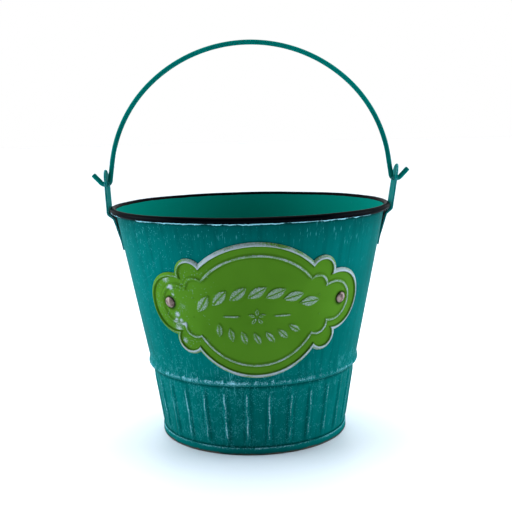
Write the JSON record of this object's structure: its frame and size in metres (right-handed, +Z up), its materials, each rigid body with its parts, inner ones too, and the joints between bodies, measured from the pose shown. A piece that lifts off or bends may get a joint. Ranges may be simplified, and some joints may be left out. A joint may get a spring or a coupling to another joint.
{
  "type": "florist bucket",
  "caption": "Tapered tin bucket with a black wired rim, a rolled hoop, a fluted foot, a riveted lobed plaque on the front and a wire bail that swings in two ears.",
  "frame": {"origin": "on the floor under the middle of the base. The bounding box is centred 0.8 mm from it towards +X, because the right ear leans out more than the left and the bail hangs half-way between them", "axes": "+Z up, along the bucket's axis; X runs along the line of the bail's pivots; the plaque faces -Y, turned 2 degrees towards +X"},
  "size_m": [0.1826, 0.16, 0.2237],
  "materials": {
    "teal_paint": "satin, distressed, black over the rolled rim",
    "moss_green_paint": "satin, worn through to metal on the raised lines",
    "steel_wire": "plain drawn wire",
    "aged_rivet": "dull, browned"
  },
  "bodies": {
    "pail": {"pail_wall": "teal_paint", "rim_wire": "steel_wire", "base_pan": "teal_paint", "left_ear": "teal_paint", "right_ear": "teal_paint", "plaque": "moss_green_paint", "left_plaque_rivet": "aged_rivet", "right_plaque_rivet": "aged_rivet"},
    "bail": {"bail": "teal_paint"}
  },
  "joints": [
    {"name": "bail_swing", "type": "hinge", "parent": "pail", "child": "bail", "pos_m": [0, 0, 0.1443], "axis": [1, 0, 0], "range_deg": [-97, 97]}
  ]
}
